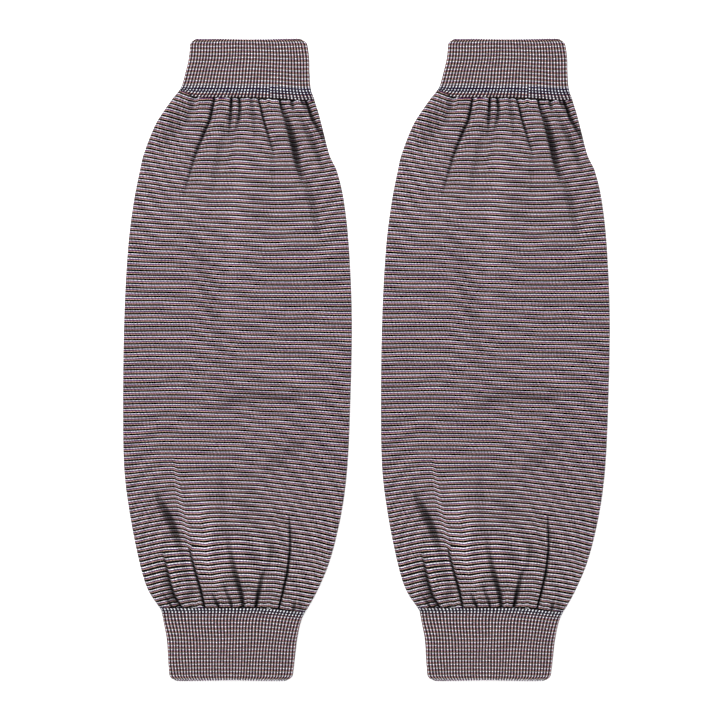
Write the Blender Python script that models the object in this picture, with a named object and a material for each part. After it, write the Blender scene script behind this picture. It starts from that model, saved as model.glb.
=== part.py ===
"""Pair of knitted sleeves laid flat side by side, in metres, +Z up.

Each sleeve is a tube knitted in the round: a short rib cuff, a gathered jersey body and a taller rib cuff.
The tube lies flat, so each cross-section is a flattened ring: a flat back layer on the surface, a front layer
over it, and a rounded fold at each side. The origin is on the surface, at the middle of the pair.
+Y runs towards the short cuffs and +X towards the right sleeve, as seen from above.
"""

import math
from collections import namedtuple

import bmesh
import bpy

# Pair
SLEEVE_LENGTH = 0.400
SLEEVE_PITCH = 0.1605
SEAM_GAP = 0.0003

# Lengthwise layout of one sleeve, measured from the top edge
TOP_CUFF_LENGTH = 0.0373
BOTTOM_CUFF_LENGTH = 0.0447
BODY_START = TOP_CUFF_LENGTH + SEAM_GAP / 2
BODY_END = SLEEVE_LENGTH - BOTTOM_CUFF_LENGTH - SEAM_GAP / 2

# Cloth
BODY_WALL = 0.0011
BODY_SIDE_HEIGHT = 0.0030
BODY_BUNCHING = 0.31
BODY_LOWEST_FRONT = 0.0028
CUFF_WALL = 0.0014
CUFF_SIDE_HEIGHT = 0.0034
RIB_RISE = 0.0005
TOP_CUFF_RIBS = 41
BOTTOM_CUFF_RIBS = 43
CORNER_RADIUS = 0.0037
SIDE_FLATNESS = 4
GATHER_FADE = 0.7
FREE_FOLD_FADE = 0.5

# Points round a section
BODY_FRONT_COLUMNS = 40
BODY_BACK_COLUMNS = 10
CUFF_INNER_COLUMNS = 12
CUFF_BACK_COLUMNS = 8
SIDE_FOLD_STEPS = 4
CORNER_STEPS = 2

# Finish
JERSEY_COLOR = (0.19, 0.14, 0.16)
RIB_COLOR = (0.21, 0.17, 0.17)
KNIT_ROUGHNESS = 0.9
SHARP_ANGLE = math.radians(50)

# The outline: distance from the top edge, reach left and right of the sleeve's axis, and the front's height
Station = namedtuple("Station", "along left right height")

TOP_CUFF_STATIONS = (
    Station(0.0000, 0.0292, 0.0432, 0.0036),
    Station(0.0110, 0.0300, 0.0446, 0.0036),
    Station(0.0200, 0.0320, 0.0448, 0.0036),
    Station(0.0315, 0.0354, 0.0457, 0.0037),
    Station(0.0375, 0.0402, 0.0478, 0.0038),
)

BODY_STATIONS = (
    Station(0.0370, 0.0400, 0.0476, 0.0042),
    Station(0.0450, 0.0456, 0.0502, 0.0058),
    Station(0.0540, 0.0512, 0.0526, 0.0064),
    Station(0.0730, 0.0586, 0.0576, 0.0062),
    Station(0.0820, 0.0606, 0.0619, 0.0060),
    Station(0.1000, 0.0642, 0.0662, 0.0054),
    Station(0.1290, 0.0679, 0.0694, 0.0047),
    Station(0.1750, 0.0704, 0.0713, 0.0043),
    Station(0.2310, 0.0711, 0.0702, 0.0045),
    Station(0.2690, 0.0703, 0.0683, 0.0049),
    Station(0.2970, 0.0667, 0.0645, 0.0056),
    Station(0.3250, 0.0611, 0.0576, 0.0063),
    Station(0.3430, 0.0556, 0.0502, 0.0062),
    Station(0.3555, 0.0474, 0.0434, 0.0042),
)

BOTTOM_CUFF_STATIONS = (
    Station(0.3550, 0.0472, 0.0432, 0.0038),
    Station(0.3620, 0.0460, 0.0398, 0.0037),
    Station(0.3740, 0.0438, 0.0372, 0.0036),
    Station(0.3860, 0.0430, 0.0358, 0.0036),
    Station(0.4000, 0.0420, 0.0342, 0.0036),
)

# Where each piece has its rings of points between its two ends, denser where the gathers are
TOP_CUFF_RINGS = (0.0200, 0.0315)
BODY_RINGS = (
    0.0395, 0.0435, 0.0495, 0.0575, 0.0680, 0.0820, 0.1000, 0.1300, 0.1800,
    0.2230, 0.2580, 0.2860, 0.3070, 0.3220, 0.3340, 0.3430, 0.3500,
)
BOTTOM_CUFF_RINGS = (0.3620, 0.3740)

# Folds of the front layer: each runs from its start over its turn to its end and is deepest at its start,
# or in its middle when it is free. A negative depth is a ridge.
Fold = namedtuple("Fold", "start_along start_x turn_along turn_x end_along end_x depth half_width")

TOP_GATHERS = (
    Fold(0.0373, -0.0275, 0.0510, -0.0350, 0.0640, -0.0449, 0.0014, 0.0030),
    Fold(0.0373, -0.0151, 0.0746, -0.0263, 0.0970, -0.0350, 0.0026, 0.0027),
    Fold(0.0373, -0.0036, 0.0560, -0.0060, 0.0800, -0.0108, 0.0019, 0.0024),
    Fold(0.0373, 0.0020, 0.0450, 0.0014, 0.0530, 0.0006, 0.0014, 0.0020),
    Fold(0.0373, 0.0135, 0.0640, 0.0205, 0.0860, 0.0212, 0.0022, 0.0024),
    Fold(0.0373, 0.0259, 0.0700, 0.0352, 0.1240, 0.0500, 0.0034, 0.0034),
    Fold(0.0373, 0.0346, 0.0570, 0.0428, 0.0800, 0.0520, 0.0018, 0.0024),
    Fold(0.0373, 0.0434, 0.0500, 0.0480, 0.0640, 0.0535, 0.0018, 0.0022),
)

BOTTOM_GATHERS = (
    Fold(0.3547, -0.0450, 0.3500, -0.0465, 0.3440, -0.0470, 0.0010, 0.0020),
    Fold(0.3547, -0.0355, 0.3440, -0.0398, 0.3200, -0.0480, 0.0028, 0.0028),
    Fold(0.3547, -0.0200, 0.3200, -0.0292, 0.2800, -0.0480, 0.0032, 0.0034),
    Fold(0.3547, -0.0130, 0.3490, -0.0158, 0.3430, -0.0170, 0.0012, 0.0020),
    Fold(0.3547, -0.0045, 0.3490, -0.0063, 0.3420, -0.0080, 0.0012, 0.0020),
    Fold(0.3547, 0.0036, 0.3380, 0.0010, 0.3030, -0.0070, 0.0024, 0.0028),
    Fold(0.3547, 0.0113, 0.3410, 0.0137, 0.3300, 0.0190, 0.0024, 0.0024),
    Fold(0.3547, 0.0262, 0.3360, 0.0300, 0.2970, 0.0322, 0.0022, 0.0024),
    Fold(0.3547, 0.0365, 0.3480, 0.0385, 0.3420, 0.0400, 0.0010, 0.0020),
)

FREE_FOLDS = (
    Fold(0.1070, -0.0257, 0.1600, -0.0190, 0.2260, -0.0090, 0.0009, 0.0060),
    Fold(0.2260, -0.0110, 0.2200, 0.0140, 0.2240, 0.0460, 0.0012, 0.0060),
    Fold(0.2630, 0.0200, 0.2580, 0.0300, 0.2520, 0.0390, 0.0008, 0.0050),
    Fold(0.2580, -0.0380, 0.3020, -0.0232, 0.3300, -0.0130, -0.0008, 0.0050),
    Fold(0.0600, 0.0035, 0.1200, 0.0010, 0.1780, -0.0030, -0.0006, 0.0060),
)


# Outline
def smooth_column(stations, along, column):
    """The value of one column of a station table at a distance along the sleeve, on a smooth curve."""
    last = len(stations) - 1
    index = max(i for i in range(last) if i == 0 or stations[i].along <= along)
    places = [stations[min(max(index + step, 0), last)] for step in (-1, 0, 1, 2)]
    values = [getattr(place, column) for place in places]
    alongs = [place.along for place in places]
    span = alongs[2] - alongs[1]
    share = (along - alongs[1]) / span
    slope_in = (values[2] - values[0]) / (alongs[2] - alongs[0]) * span
    slope_out = (values[3] - values[1]) / (alongs[3] - alongs[1]) * span
    square = share * share
    cube = square * share
    return (
        (2 * cube - 3 * square + 1) * values[1]
        + (cube - 2 * square + share) * slope_in
        + (3 * square - 2 * cube) * values[2]
        + (cube - square) * slope_out
    )


def section_sides(stations, along):
    """The two side edges of a section as x values, and the height of its front layer."""
    left = -smooth_column(stations, along, "left")
    right = smooth_column(stations, along, "right")
    return left, right, smooth_column(stations, along, "height")


def corner_inset(along):
    """How far the rounded corners at the sleeve's two open edges draw a section in."""
    from_edge = min(along, SLEEVE_LENGTH - along)
    if from_edge >= CORNER_RADIUS:
        return 0.0
    reach = CORNER_RADIUS - from_edge
    return CORNER_RADIUS - math.sqrt(CORNER_RADIUS**2 - reach**2)


# Folds
def along_segment(along, x, start, end):
    """Distance of a point from a segment, and the share of the segment at which it is nearest."""
    run_along = end[0] - start[0]
    run_x = end[1] - start[1]
    share = ((along - start[0]) * run_along + (x - start[1]) * run_x) / (run_along**2 + run_x**2)
    share = min(max(share, 0.0), 1.0)
    distance = math.hypot(along - start[0] - share * run_along, x - start[1] - share * run_x)
    return distance, share


def fold_depth(fold, along, x, free):
    """How deep one fold is at a point of the front layer."""
    start = (fold.start_along, fold.start_x)
    turn = (fold.turn_along, fold.turn_x)
    end = (fold.end_along, fold.end_x)
    first, first_share = along_segment(along, x, start, turn)
    second, second_share = along_segment(along, x, turn, end)
    if first <= second:
        distance = first
        travelled = first_share / 2
    else:
        distance = second
        travelled = (1 + second_share) / 2
    if free:
        strength = math.sin(math.pi * travelled) ** FREE_FOLD_FADE
    else:
        strength = math.cos(math.pi / 2 * travelled) ** GATHER_FADE
    return fold.depth * strength * math.exp(-((distance / fold.half_width) ** 2))


def body_front_height(along, x, across):
    """Height of the body's front layer: a low crown over the side folds, less its gathers and folds."""
    crown = smooth_column(BODY_STATIONS, along, "height") - BODY_SIDE_HEIGHT
    shoulder = 1 - abs(across) ** SIDE_FLATNESS
    gathers = sum(fold_depth(fold, along, x, False) for fold in TOP_GATHERS + BOTTOM_GATHERS)
    folds = sum(fold_depth(fold, along, x, True) for fold in FREE_FOLDS)
    height = BODY_SIDE_HEIGHT + (crown - gathers - folds) * shoulder
    return max(height, BODY_LOWEST_FRONT + (BODY_SIDE_HEIGHT - BODY_LOWEST_FRONT) * abs(across))


# Sections
def spread(low, high, count):
    """Evenly spaced values from low to high, both included."""
    return [low + (high - low) * i / (count - 1) for i in range(count)]


def side_fold(centre_x, centre_z, radius, first_angle, last_angle):
    """Points on the round of a side fold, between its two tangent points."""
    angles = spread(first_angle, last_angle, SIDE_FOLD_STEPS + 1)[1:-1]
    return [(centre_x + radius * math.cos(a), centre_z + radius * math.sin(a)) for a in angles]


def flat_ring(along, left, right, fold_radius, inset, front, back_count):
    """A flattened ring of points: front layer, right fold, back layer, left fold.

    front is a list of (x, z). inset is how far the ring lies inside the cloth's outer face.
    """
    radius = fold_radius - inset
    section = list(front)
    section += side_fold(right - fold_radius, fold_radius, radius, math.pi / 2, -math.pi / 2)
    section += [(x, inset) for x in spread(right - fold_radius, left + fold_radius, back_count)]
    section += side_fold(left + fold_radius, fold_radius, radius, -math.pi / 2, -3 * math.pi / 2)
    y = SLEEVE_LENGTH / 2 - along
    return [(x, y, z) for x, z in section]


def body_rings(along):
    """The outer and the inner ring of the gathered body at one distance along the sleeve."""
    left, right, _ = section_sides(BODY_STATIONS, along)
    radius = BODY_SIDE_HEIGHT / 2
    outer_front = []
    inner_front = []
    for across in spread(-1, 1, BODY_FRONT_COLUMNS):
        x = (left + right) / 2 + across * ((right - left) / 2 - radius)
        height = body_front_height(along, x, across)
        wall = BODY_WALL + BODY_BUNCHING * (height - BODY_SIDE_HEIGHT)
        outer_front.append((x, height))
        inner_front.append((x, height - wall))
    outer = flat_ring(along, left, right, radius, 0.0, outer_front, BODY_BACK_COLUMNS)
    inner = flat_ring(along, left, right, radius, BODY_WALL, inner_front, BODY_BACK_COLUMNS)
    return outer, inner


def cuff_rings(along, stations, ribs):
    """The outer ring of a rib cuff, ribs raised on its front, and the plain inner ring."""
    left, right, height = section_sides(stations, along)
    inset = corner_inset(along)
    left += inset
    right -= inset
    radius = CUFF_SIDE_HEIGHT / 2
    outer_front = []
    columns = spread(left + radius, right - radius, 2 * ribs + 1)
    for i, x in enumerate(columns):
        is_crest = i % 2 == 1
        is_edge = i in (0, len(columns) - 1)
        base = CUFF_SIDE_HEIGHT if is_edge else height
        outer_front.append((x, base + RIB_RISE * is_crest))
    inner_front = [
        (x, CUFF_SIDE_HEIGHT - CUFF_WALL)
        for x in spread(left + radius, right - radius, CUFF_INNER_COLUMNS)
    ]
    outer = flat_ring(along, left, right, radius, 0.0, outer_front, CUFF_BACK_COLUMNS)
    inner = flat_ring(along, left, right, radius, CUFF_WALL, inner_front, CUFF_BACK_COLUMNS)
    return outer, inner


# Meshes
def join_rings(mesh, first, second):
    """Faces between two closed rings of vertices, which may differ in how many they have."""
    if len(first) == len(second):
        for i in range(len(first)):
            j = (i + 1) % len(first)
            mesh.faces.new((first[i], second[i], second[j], first[j]))
        return
    i = 0
    j = 0
    while i < len(first) or j < len(second):
        here, there = first[i % len(first)], second[j % len(second)]
        next_here, next_there = first[(i + 1) % len(first)], second[(j + 1) % len(second)]
        step_here = (next_here.co - there.co).length if i < len(first) else math.inf
        step_there = (next_there.co - here.co).length if j < len(second) else math.inf
        if step_here <= step_there:
            mesh.faces.new((here, there, next_here))
            i += 1
        else:
            mesh.faces.new((here, there, next_there))
            j += 1


def tube_wall(name, ring_pairs):
    """A closed wall: the outer face down the tube, the end rim, the inner face back up, the other rim."""
    outer = [pair[0] for pair in ring_pairs]
    inner = [pair[1] for pair in ring_pairs]
    mesh = bmesh.new()
    rings = [[mesh.verts.new(point) for point in ring] for ring in outer + inner[::-1]]
    for first, second in zip(rings, rings[1:] + rings[:1]):
        join_rings(mesh, first, second)
    data = bpy.data.meshes.new(name)
    mesh.to_mesh(data)
    mesh.free()
    data.shade_smooth()
    data.set_sharp_from_angle(angle=SHARP_ANGLE)
    return data


def corner_depths():
    """Distances from a cuff's open edge at which rings follow the round of its corners."""
    return [CORNER_RADIUS * (1 - math.cos(angle)) for angle in spread(0, math.pi / 2, CORNER_STEPS + 1)]


def top_cuff_mesh():
    end = TOP_CUFF_LENGTH - SEAM_GAP / 2
    alongs = [*corner_depths(), *TOP_CUFF_RINGS, end]
    return tube_wall("top_cuff", [cuff_rings(a, TOP_CUFF_STATIONS, TOP_CUFF_RIBS) for a in alongs])


def sleeve_body_mesh():
    alongs = [BODY_START, *BODY_RINGS, BODY_END]
    return tube_wall("sleeve_body", [body_rings(a) for a in alongs])


def bottom_cuff_mesh():
    start = SLEEVE_LENGTH - BOTTOM_CUFF_LENGTH + SEAM_GAP / 2
    corners = [SLEEVE_LENGTH - depth for depth in reversed(corner_depths())]
    alongs = [start, *BOTTOM_CUFF_RINGS, *corners]
    rings = [cuff_rings(a, BOTTOM_CUFF_STATIONS, BOTTOM_CUFF_RIBS) for a in alongs]
    return tube_wall("bottom_cuff", rings)


# Materials
def knit_material(name, color):
    material = bpy.data.materials.new(name)
    material.use_nodes = True
    surface = material.node_tree.nodes["Principled BSDF"]
    surface.inputs["Base Color"].default_value = (*color, 1.0)
    surface.inputs["Roughness"].default_value = KNIT_ROUGHNESS
    surface.inputs["Metallic"].default_value = 0.0
    return material


# Assembly
def clear_scene():
    for item in list(bpy.data.objects):
        bpy.data.objects.remove(item, do_unlink=True)


def middle_of_outline():
    """How far the widest reach to the right passes the widest reach to the left, halved."""
    reach_left = max(smooth_column(BODY_STATIONS, a, "left") for a in BODY_RINGS)
    reach_right = max(smooth_column(BODY_STATIONS, a, "right") for a in BODY_RINGS)
    return (reach_right - reach_left) / 2


def build_pair():
    clear_scene()
    collection = bpy.data.collections.new("knitted_sleeve_pair")
    bpy.context.scene.collection.children.link(collection)
    rib = knit_material("striped_rib", RIB_COLOR)
    jersey = knit_material("striped_jersey", JERSEY_COLOR)
    pieces = (
        ("top_cuff", top_cuff_mesh(), rib),
        ("sleeve_body", sleeve_body_mesh(), jersey),
        ("bottom_cuff", bottom_cuff_mesh(), rib),
    )
    for side, sign in (("left", -1), ("right", 1)):
        centre = bpy.data.objects.new(f"{side}_sleeve", None)
        centre.location.x = sign * SLEEVE_PITCH / 2 - middle_of_outline()
        collection.objects.link(centre)
        for name, mesh, material in pieces:
            if not mesh.materials:
                mesh.materials.append(material)
            piece = bpy.data.objects.new(f"{side}_{name}", mesh)
            piece.parent = centre
            collection.objects.link(piece)


build_pair()
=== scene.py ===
"""The looks of a pair of knitted arm sleeves that lie flat side by side.

Each sleeve is one tube of striped knit in three stretches: a short rib cuff, a loose jersey body
gathered into both cuffs, and a taller rib cuff. Each stretch is a thin shell on the form of its solid.
It starts as a flat sheet, whose columns go round the tube and whose rows go along it, and its UV map
"knit" counts wales (or ribs) and courses. Lengths are millimetres until a piece is placed. "Along" is
the distance from the sleeve's top edge, and x is the distance to the right of the sleeve's axis, as
seen from above.
"""

import math
from collections import namedtuple

import bmesh
import bpy
import numpy as np
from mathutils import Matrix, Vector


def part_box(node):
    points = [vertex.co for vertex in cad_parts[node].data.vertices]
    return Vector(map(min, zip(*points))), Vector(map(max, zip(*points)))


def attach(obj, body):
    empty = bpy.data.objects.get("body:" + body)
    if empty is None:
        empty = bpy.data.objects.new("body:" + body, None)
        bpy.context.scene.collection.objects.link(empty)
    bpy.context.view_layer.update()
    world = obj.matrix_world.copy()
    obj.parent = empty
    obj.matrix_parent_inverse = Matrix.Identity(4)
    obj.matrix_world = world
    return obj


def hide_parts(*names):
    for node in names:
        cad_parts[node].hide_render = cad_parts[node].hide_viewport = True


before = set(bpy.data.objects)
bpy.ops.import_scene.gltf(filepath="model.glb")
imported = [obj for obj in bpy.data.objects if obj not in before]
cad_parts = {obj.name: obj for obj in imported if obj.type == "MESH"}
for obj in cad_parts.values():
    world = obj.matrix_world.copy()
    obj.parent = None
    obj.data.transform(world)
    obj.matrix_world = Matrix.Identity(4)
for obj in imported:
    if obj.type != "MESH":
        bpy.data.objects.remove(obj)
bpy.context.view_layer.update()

MM = 0.001

# The solids' own sizes, repeated from the part's source
SLEEVE_LENGTH = 400.0
TOP_CUFF_LENGTH = 37.3
BOTTOM_CUFF_LENGTH = 44.7
SEAM_GAP = 0.3
BODY_START = TOP_CUFF_LENGTH + SEAM_GAP / 2
BODY_END = SLEEVE_LENGTH - BOTTOM_CUFF_LENGTH - SEAM_GAP / 2
BODY_SIDE_HEIGHT = 3.0
CUFF_SIDE_HEIGHT = 3.4
CORNER_RADIUS = 3.7
SIDE_FLATNESS = 4

# The outline: reach left and right of the sleeve's axis, and the front layer's height
Station = namedtuple("Station", "along left right height")

TOP_CUFF_STATIONS = (
    Station(0.0, 29.2, 43.2, 3.6),
    Station(11.0, 30.0, 44.6, 3.6),
    Station(20.0, 32.0, 44.8, 3.6),
    Station(31.5, 35.4, 45.7, 3.7),
    Station(37.5, 40.2, 47.8, 3.8),
)

BODY_STATIONS = (
    Station(37.0, 40.0, 47.6, 4.2),
    Station(45.0, 45.6, 50.2, 5.8),
    Station(54.0, 51.2, 52.6, 6.4),
    Station(73.0, 58.6, 57.6, 6.2),
    Station(82.0, 60.6, 61.9, 6.0),
    Station(100.0, 64.2, 66.2, 5.4),
    Station(129.0, 67.9, 69.4, 4.7),
    Station(175.0, 70.4, 71.3, 4.3),
    Station(231.0, 71.1, 70.2, 4.5),
    Station(269.0, 70.3, 68.3, 4.9),
    Station(297.0, 66.7, 64.5, 5.6),
    Station(325.0, 61.1, 57.6, 6.3),
    Station(343.0, 55.6, 50.2, 6.2),
    Station(355.5, 47.4, 43.4, 4.2),
)

BOTTOM_CUFF_STATIONS = (
    Station(355.0, 47.2, 43.2, 3.8),
    Station(362.0, 46.0, 39.8, 3.7),
    Station(374.0, 43.8, 37.2, 3.6),
    Station(386.0, 43.0, 35.8, 3.6),
    Station(400.0, 42.0, 34.2, 3.6),
)

# The cloth
BODY_THICKNESS = 0.6
CUFF_THICKNESS = 0.9
BACK_CLEARANCE = 0.25
BODY_WALES = 306
BODY_COURSE = 0.66
BODY_COURSES = (BODY_END - BODY_START) / BODY_COURSE
TOP_CUFF_COURSE = 0.608
BOTTOM_CUFF_COURSE = 0.583
RIB_DEPTH = 0.85
RIB_RISE = 0.5
SIDE_RIBS = 3
TOP_CUFF_RIBS = 39
BOTTOM_CUFF_RIBS = 41

# How much lower than a straight line each seam runs, as (x, drop), fading over a distance above and
# below the seam, and the share of it that the courses follow
SeamBend = namedtuple("SeamBend", "along above below drops followed")

SEAM_BENDS = (
    SeamBend(
        37.3, 4.6, 18.0,
        ((-42.0, -6.5), (-36.0, -5.2), (-31.0, -3.0), (-27.0, -0.8), (-22.0, 0.0)), 0.3,
    ),
    SeamBend(37.3, 26.0, 26.0, ((10.0, 0.0), (26.0, 0.7), (40.0, 1.6), (48.0, 1.2)), 1.0),
    SeamBend(355.2, 20.0, 26.0, ((12.0, -1.2), (24.0, -0.4), (34.0, 0.7), (44.0, 1.6)), 1.0),
)
EDGE_STRAIGHTNESS = 20
END_INSET = 0.9

# How far the courses lie below their even spacing, at several places across, creases apart
DROP_PLACES = (-68.0, -55.0, -44.0, -30.0, -14.0, 0.0, 24.0, 46.0, 58.0, 68.0)
CourseDrops = namedtuple("CourseDrops", "along drops")

COURSE_DROPS = (
    CourseDrops(37.5, (-7.5, -5.5, -3.0, -0.0, -0.5, 0.4, 0.8, -0.2, -2.0, -3.5)),
    CourseDrops(66.0, (-6.6, -4.8, -2.4, 0.0, 0.1, 0.3, 1.2, 0.0, -1.7, -3.8)),
    CourseDrops(96.0, (-5.5, -3.6, -2.1, -1.0, 0.0, 0.2, 1.3, 0.5, -0.6, -2.0)),
    CourseDrops(126.0, (-3.8, -3.0, -2.3, -1.6, -0.5, 0.2, 1.1, 0.6, 0.0, -0.5)),
    CourseDrops(155.0, (-2.7, -2.5, -2.4, -2.0, -0.6, 0.2, 0.9, 1.0, 0.8, 0.7)),
    CourseDrops(185.0, (-2.2, -2.2, -2.2, -2.0, -0.8, -0.1, 0.8, 1.1, 1.5, 1.8)),
    CourseDrops(215.0, (-1.7, -2.0, -2.0, -2.0, -1.1, -0.3, 0.7, 1.3, 2.1, 2.8)),
    CourseDrops(245.0, (-1.2, -1.9, -2.3, -1.9, -1.7, -1.3, 0.2, 2.0, 2.9, 3.9)),
    CourseDrops(275.0, (-0.4, -1.6, -2.5, -2.1, -2.1, -1.8, -0.1, 2.7, 4.1, 5.4)),
    CourseDrops(305.0, (1.4, -1.5, -3.0, -2.8, -2.7, -2.4, 0.0, 3.4, 5.9, 7.8)),
    CourseDrops(322.0, (2.5, -0.2, -1.8, -1.9, -1.2, -1.2, 0.8, 4.1, 7.5, 9.6)),
    CourseDrops(340.0, (5.5, 3.4, 1.4, 0.5, 0.6, 0.9, 1.6, 4.0, 6.8, 9.5)),
    CourseDrops(355.0, (6.5, 4.8, 2.5, 1.0, 1.0, 1.3, 1.2, 4.1, 8.0, 10.0)),
)

# Creases: each follows a path of (along, x) points. Its depth and half width are at its deepest, drag
# is how far the courses sag in it, step how far they drop from its left to its right, skew how much
# steeper its left wall is than its right one, dark how much shade is painted into it because little light
# reaches into it, and fade how early its strength begins to go. A gather is deepest where it starts, at a
# seam, and a free crease in its middle. A negative depth is a ridge, and a negative dark is painted
# light, lighter than the cloth beside it.
CREASE_FIELDS = "path depth half_width drag step skew dark fade"
Crease = namedtuple("Crease", CREASE_FIELDS, defaults=(0.0, 0.0, 0.5, 0.6))


def soft_shade(path, half_width, dark):
    """Painted shade along a path where the cloth has no crease of its own, and painted light where dark
    is negative.
    """
    return Crease(path, 0.0, half_width, 0.0, 0.0, 0.0, dark, 0.4)


TOP_GATHERS = (
    Crease(
        ((37.3, -27.3), (45.0, -29.0), (52.5, -31.5), (62.0, -37.5)),
        1.8, 1.7, 0.7, 0.3, 0.2, 0.45,
    ),
    Crease(
        (
            (37.3, -13.9), (45.2, -15.2), (51.4, -16.6), (60.0, -20.4),
            (72.7, -25.6), (84.0, -29.0), (99.0, -33.5),
        ),
        3.4, 0.95, 1.1, 0.5, -0.4, 0.95, 0.5,
    ),
    Crease(
        ((37.3, -3.5), (46.0, -3.9), (54.0, -4.4), (64.0, -5.5)),
        3.4, 1.0, 0.9, 0.0, 0.0, 1.0, 0.8,
    ),
    Crease(
        ((37.3, 1.1), (43.5, 1.7), (51.0, 1.0), (60.0, -1.5)),
        3.2, 0.95, 0.9, 0.0, 0.2, 0.95, 0.7,
    ),
    Crease(((37.3, 8.6), (45.0, 9.7), (54.0, 10.6), (66.0, 11.4)), 1.5, 1.4, 0.6, 0.0, 0.0, 0.45),
    Crease(
        ((37.3, 12.9), (42.6, 14.5), (48.8, 15.7), (55.8, 17.8), (66.7, 21.1), (76.0, 23.6)),
        3.0, 0.7, 0.9, 0.6, 0.2, 1.0, 0.4,
    ),
    Crease(((37.3, 26.2), (42.6, 27.2), (50.0, 29.8)), 2.6, 0.75, 0.6, 0.4, 0.2, 1.0, 0.3),
    Crease(((37.3, 33.7), (41.0, 34.3), (47.0, 35.9)), 2.0, 1.1, 0.7, 0.0, 0.0, 0.8, 0.8),
    Crease(((37.3, 39.8), (40.3, 41.7), (45.0, 43.2)), 1.6, 0.9, 0.4, 0.0, 0.0, 0.85, 0.8),
    Crease(
        ((37.3, 42.3), (43.4, 44.5), (48.8, 46.2), (56.6, 50.4), (66.7, 56.0), (74.0, 59.0)),
        3.4, 1.2, 0.8, 0.3, 0.3, 1.0, 0.5,
    ),
)

BOTTOM_GATHERS = (
    Crease(((355.0, -40.4), (350.0, -43.5), (345.0, -46.3)), 1.6, 0.95, 0.5, 0.0, 0.0, 0.9),
    Crease(
        ((355.0, -34.6), (347.9, -39.2), (338.9, -41.7), (328.7, -43.8), (319.0, -46.5)),
        3.4, 1.0, 0.5, 2.2, -0.1, 1.0, 0.4,
    ),
    Crease(
        ((355.0, -35.6), (347.9, -40.4), (338.9, -43.0), (326.0, -45.5)),
        1.2, 1.8, 0.0, 0.0, -0.3, 0.55, 0.6,
    ),
    Crease(((355.0, -28.6), (350.0, -29.6), (344.0, -30.5)), 0.9, 1.2, 0.4, 0.0, 0.0, 0.4),
    Crease(
        ((355.0, -20.2), (344.6, -22.3), (333.8, -25.2), (322.5, -28.3), (316.5, -29.6)),
        3.4, 0.86, 0.3, 2.2, -0.1, 1.0, 0.12,
    ),
    Crease(((355.0, -11.4), (352.0, -12.8), (345.0, -15.8)), 1.9, 1.1, 0.8, 0.0, 0.0, 1.0),
    Crease(
        ((355.0, -3.3), (351.4, -4.0), (346.2, -6.1), (339.0, -8.8)),
        1.8, 1.0, 0.8, 0.0, 0.0, 0.85,
    ),
    Crease(
        ((355.0, 3.8), (348.3, 3.2), (342.0, 1.7), (330.7, -1.4), (317.0, -4.6), (302.0, -7.0)),
        3.8, 1.6, 0.6, 0.5, -0.2, 0.92, 0.9,
    ),
    Crease(
        ((355.0, 11.5), (346.2, 13.1), (335.9, 15.2), (326.0, 19.2)),
        3.6, 1.3, 1.0, 0.0, 0.1, 1.0, 0.7,
    ),
    Crease(
        ((355.0, 25.7), (345.2, 28.1), (331.7, 31.2), (318.3, 32.8), (307.9, 32.8), (296.0, 32.2)),
        3.4, 0.76, 0.4, 0.0, 0.2, 1.0, 0.16,
    ),
    Crease(((355.0, 34.8), (352.0, 35.6), (347.0, 36.6)), 1.5, 1.0, 0.4, 0.0, 0.0, 0.8),
    Crease(((355.0, 40.4), (351.0, 38.9), (347.0, 38.2)), 1.2, 0.9, 0.3, 0.0, 0.0, 0.7),
)

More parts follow.
